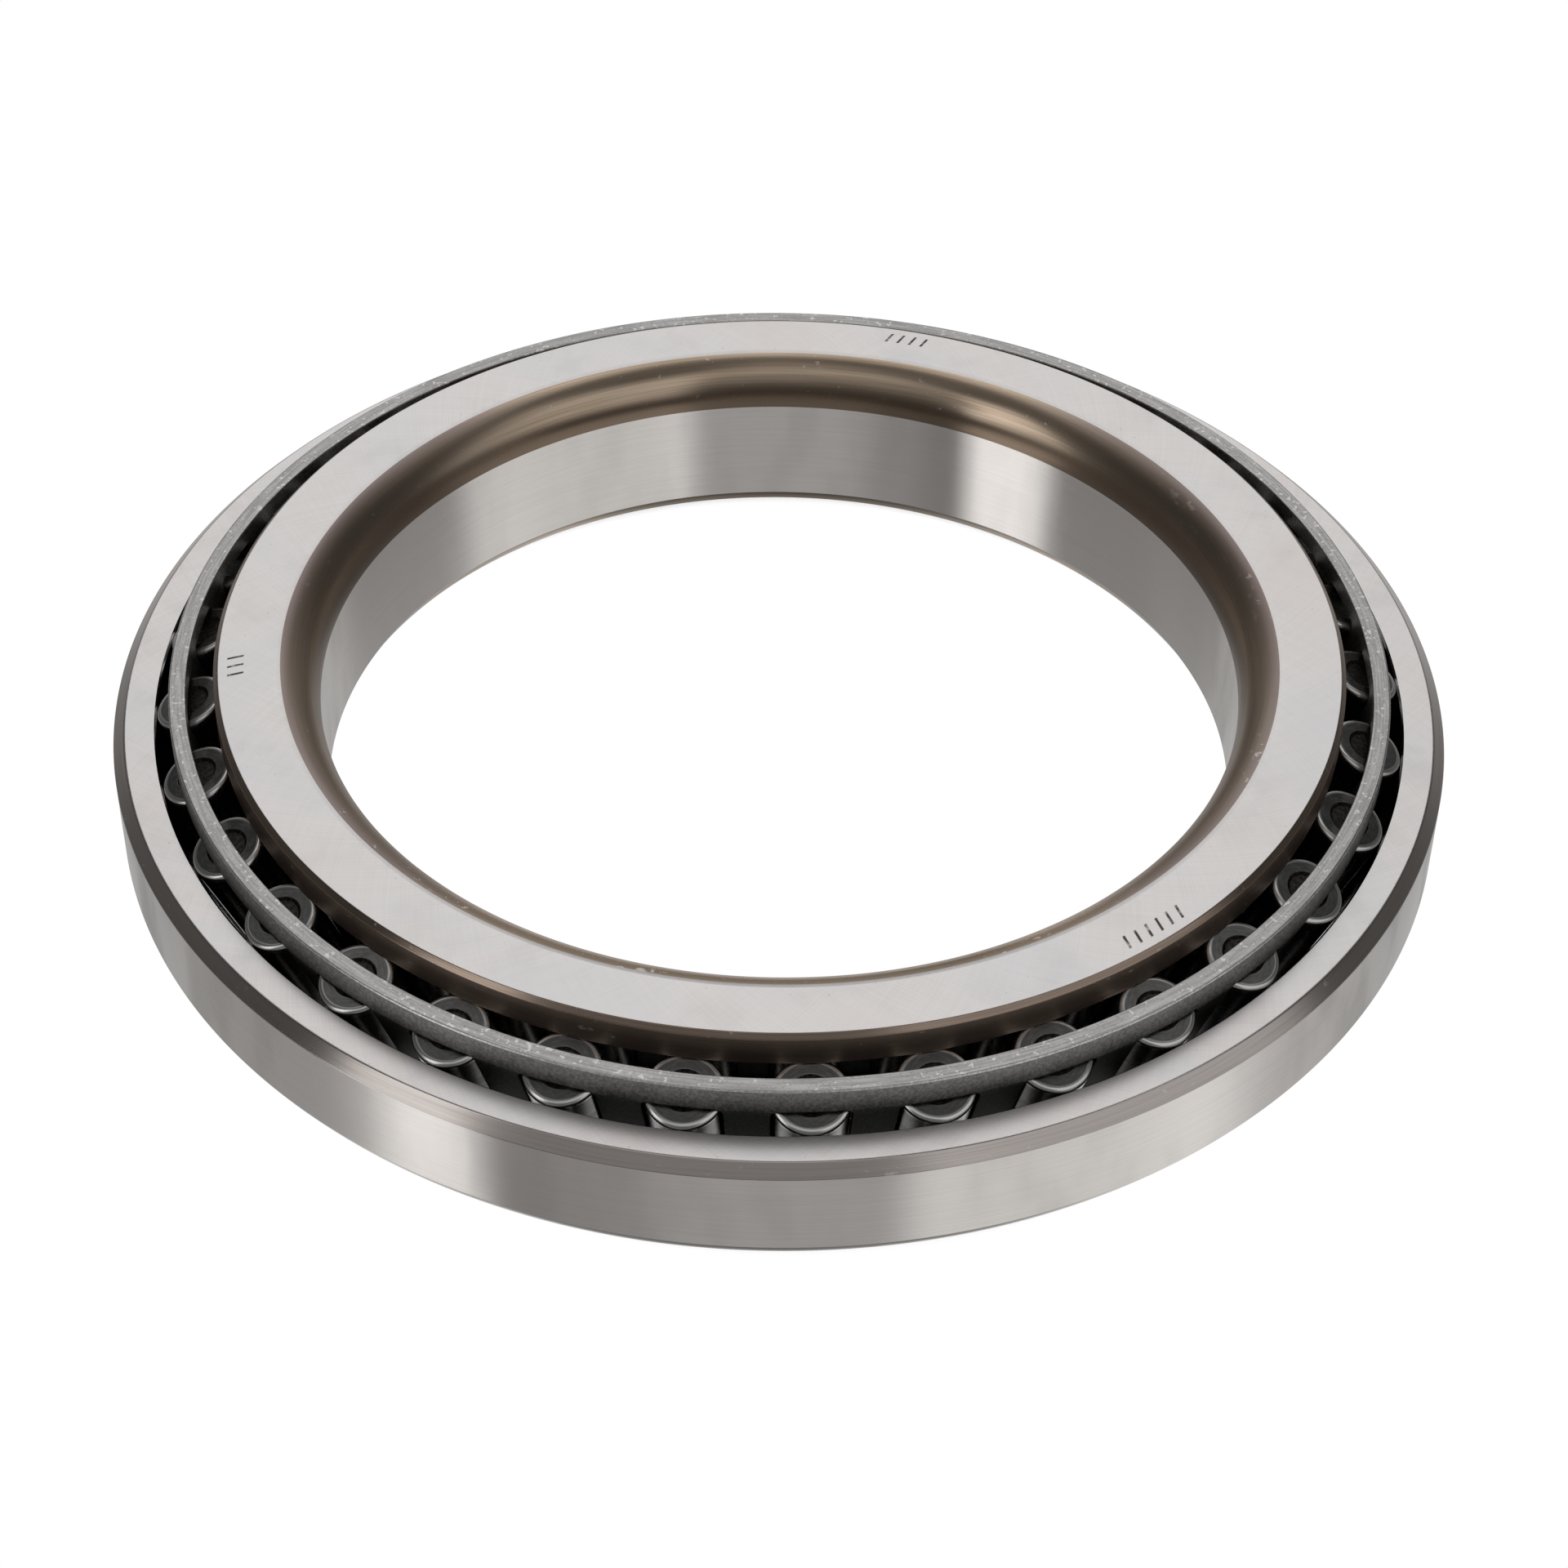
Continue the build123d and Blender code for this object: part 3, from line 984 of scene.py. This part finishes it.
def ground_roller_pattern(place):
    """Ground steel painted dark as shade, with a painted highlight on the round of the large end."""
    lines = lathe_noise(place, 4, 6000)
    haze = noise(place, (420, 420, 420), 3.0)
    # The dark base colour is a painted shade for the gap between the rings.
    base = mixed(shade(0.22, 0.215, 0.21), shade(0.32, 0.315, 0.31), ramp_up(lines, 0.3, 0.7))
    x, y, z = place.split()
    radius = (x * x + y * y) ** 0.5
    # A band on the round of the large end is painted bright: a painted highlight.
    near_end = ramp_up(z, roller_top - 2 * LARGE_ROUND, roller_top - LARGE_ROUND)
    round_highlight = ramp_up(radius, ROUND_STARTS - HIGHLIGHT_EDGE, ROUND_STARTS) * near_end
    base = mixed(base, shade(0.78, 0.77, 0.76), round_highlight)
    roughness = 0.24 + 0.08 * ramp_up(haze, 0.45, 0.7)
    return {"Base Color": base, "Roughness": roughness, "Normal": relief(lines, 0.5e-6)}


def forged_pattern(place):
    """The dark skin that forging leaves in the recess of a roller's end."""
    grit = noise(place, (2600, 2600, 2600), 4.0, 0.6)
    stain = noise(place, (900, 900, 900), 3.0)
    base = mixed(shade(0.05, 0.047, 0.044), shade(0.13, 0.12, 0.11), ramp_up(grit, 0.35, 0.65))
    base = mixed(base, shade(0.20, 0.18, 0.16), ramp_up(stain, 0.55, 0.75) * 0.5)
    roughness = 0.32 + 0.2 * grit
    return {"Base Color": base, "Roughness": roughness, "Normal": relief(grit, 6e-6)}


raceway = metal("raceway", "Object", honed_pattern)
roller_ground = metal("roller_ground", "upright", ground_roller_pattern)
roller_recess = metal("roller_recess", "upright", forged_pattern)


# %% [markdown]
# ### Cage
#
# The cage is tumbled after pressing, which leaves a fine grain on the sheet, and its outer edge carries
# a painted highlight. Between the rollers it is painted dark as shade, and it is painted lighter
# towards the rim.

# %% Pressed and tumbled cage sheet
def pressed_pattern(place):
    """Grainy tumbled sheet, painted lighter towards the rim and painted dark below it as shade."""
    x, y, z = place.split()
    grains = noise(place, (2600, 2600, 2600), 3.0, 0.6)
    clouds = noise(place, (420, 420, 420), 3.0)
    # Painted light and shade: the sheet is lighter towards the rim and shaded dark between the rollers.
    rim_light = ramp_up(z, rim_top - 4.5 * MILLIMETRE, rim_top)
    dark = mixed(shade(0.07, 0.068, 0.066), shade(0.15, 0.147, 0.143), ramp_up(grains, 0.35, 0.68))
    light = mixed(shade(0.30, 0.295, 0.29), shade(0.50, 0.49, 0.48), ramp_up(grains, 0.35, 0.68))
    base = mixed(dark, light, rim_light)
    base = mixed(base, shade(0.42, 0.41, 0.40), ramp_up(clouds, 0.5, 0.72) * rim_light * 0.35)
    roughness = 0.42 + 0.2 * grains
    return {"Base Color": base, "Roughness": roughness, "Normal": relief(grains, 14e-6)}


def rim_pattern(place):
    """The rim's flat top: turned lines under a sparkling grain."""
    lines = lathe_noise(place, 12, 4500)
    grains = noise(place, (3200, 3200, 3200), 3.0, 0.6)
    glints = noise(place, (1500, 1500, 1500), 2.0)
    base = mixed(shade(0.35, 0.345, 0.335), shade(0.51, 0.50, 0.485), ramp_up(lines, 0.35, 0.65))
    base = mixed(base, shade(0.30, 0.295, 0.29), ramp_up(grains, 0.52, 0.7) * 0.7)
    base = mixed(base, shade(0.80, 0.79, 0.78), ramp_up(glints, 0.62, 0.68) * 0.7)
    roughness = 0.27 + 0.12 * grains
    bumps = grains + lines * 0.5
    return {"Base Color": base, "Roughness": roughness, "Normal": relief(bumps, 6e-6)}


def edge_highlight_pattern(place):
    """The rim's outer edge, painted bright as a highlight along it."""
    grains = noise(place, (2800, 2800, 2800), 3.0, 0.6)
    # The bright base colour on the rim's outer edge is a painted highlight.
    base = mixed(shade(0.62, 0.61, 0.60), shade(0.88, 0.87, 0.86), ramp_up(grains, 0.4, 0.6))
    return {"Base Color": base, "Roughness": 0.22 + 0.2 * grains, "Normal": relief(grains, 6e-6)}


cage_sheet = metal("cage_sheet", "Object", pressed_pattern)
STRONG_GRAIN = {"Anisotropic": 0.4, "Anisotropic Rotation": 0.25}
cage_rim = metal("cage_rim", "Object", rim_pattern, STRONG_GRAIN, grain=True)
cage_edge_highlight = metal("cage_edge_highlight", "Object", edge_highlight_pattern)
print("finishes:", len(bpy.data.materials) - 1)


# %% [markdown]
# ### Zones
#
# One piece carries several finishes. A face's place and the way it faces tell which tool made it, so
# each piece has a list of finishes with a test for each, and the first test that passes decides.

# %% Give each zone of a piece its finish
FLAT = 0.9


def finish_zones(piece, zones):
    """Each face takes the first finish whose test passes for its middle and its normal."""
    for finish, belongs in zones:
        piece.data.materials.append(finish)
    for face in piece.data.polygons:
        outward = face.normal.xy.dot(face.center.xy.normalized())
        radius = face.center.xy.length
        face.material_index = next(
            place for place, (finish, belongs) in enumerate(zones)
            if belongs(radius, face.center.z, outward, face.normal.z)
        )


finish_zones(outer_ring, [
    (ground_face, lambda radius, z, outward, upward: abs(upward) > FLAT),
    (ground_wall, lambda radius, z, outward, upward: outward > FLAT and z > seat_low - NEAR),
    (raceway, lambda radius, z, outward, upward: outward < 0),
    (cup_corner, lambda radius, z, outward, upward: True),
])
finish_zones(inner_ring, [
    (marked_face, lambda radius, z, outward, upward: upward > FLAT and z > cone_back - TUMBLED_EDGE),
    (ground_face, lambda radius, z, outward, upward: abs(upward) > FLAT and (
        z > cone_back - TUMBLED_EDGE or z < cone_front + TUMBLED_EDGE)),
    (ground_wall, lambda radius, z, outward, upward: outward < -FLAT and z < bore_high),
    (bore_corner, lambda radius, z, outward, upward: outward < 0),
    (rib_side, lambda radius, z, outward, upward: z > rib_low + TUMBLED_EDGE / 2 or z < small_rib_high),
    (raceway, lambda radius, z, outward, upward: True),
])
finish_zones(cage, [
    (cage_edge_highlight, lambda radius, z, outward, upward: z > rim_top - RIM_ROUND and (
        radius > rim_radius - RIM_ROUND and upward < FLAT)),
    (cage_rim, lambda radius, z, outward, upward: z > rim_top - RIM_ROUND and radius > rim_inside - NEAR),
    (cage_sheet, lambda radius, z, outward, upward: True),
])
for roller in rollers:
    roller.data.materials.append(roller_ground)
    roller.data.materials.append(roller_recess)
    places = roller.data.attributes["upright"].data
    for face in roller.data.polygons:
        spots = [places[index].vector for index in face.vertices]
        middle = sum(spots, Vector()) / len(spots)
        inside = middle.xy.length < RECESS_RADIUS + NEAR and middle.z > 0
        face.material_index = int(inside)
print("zones finished")
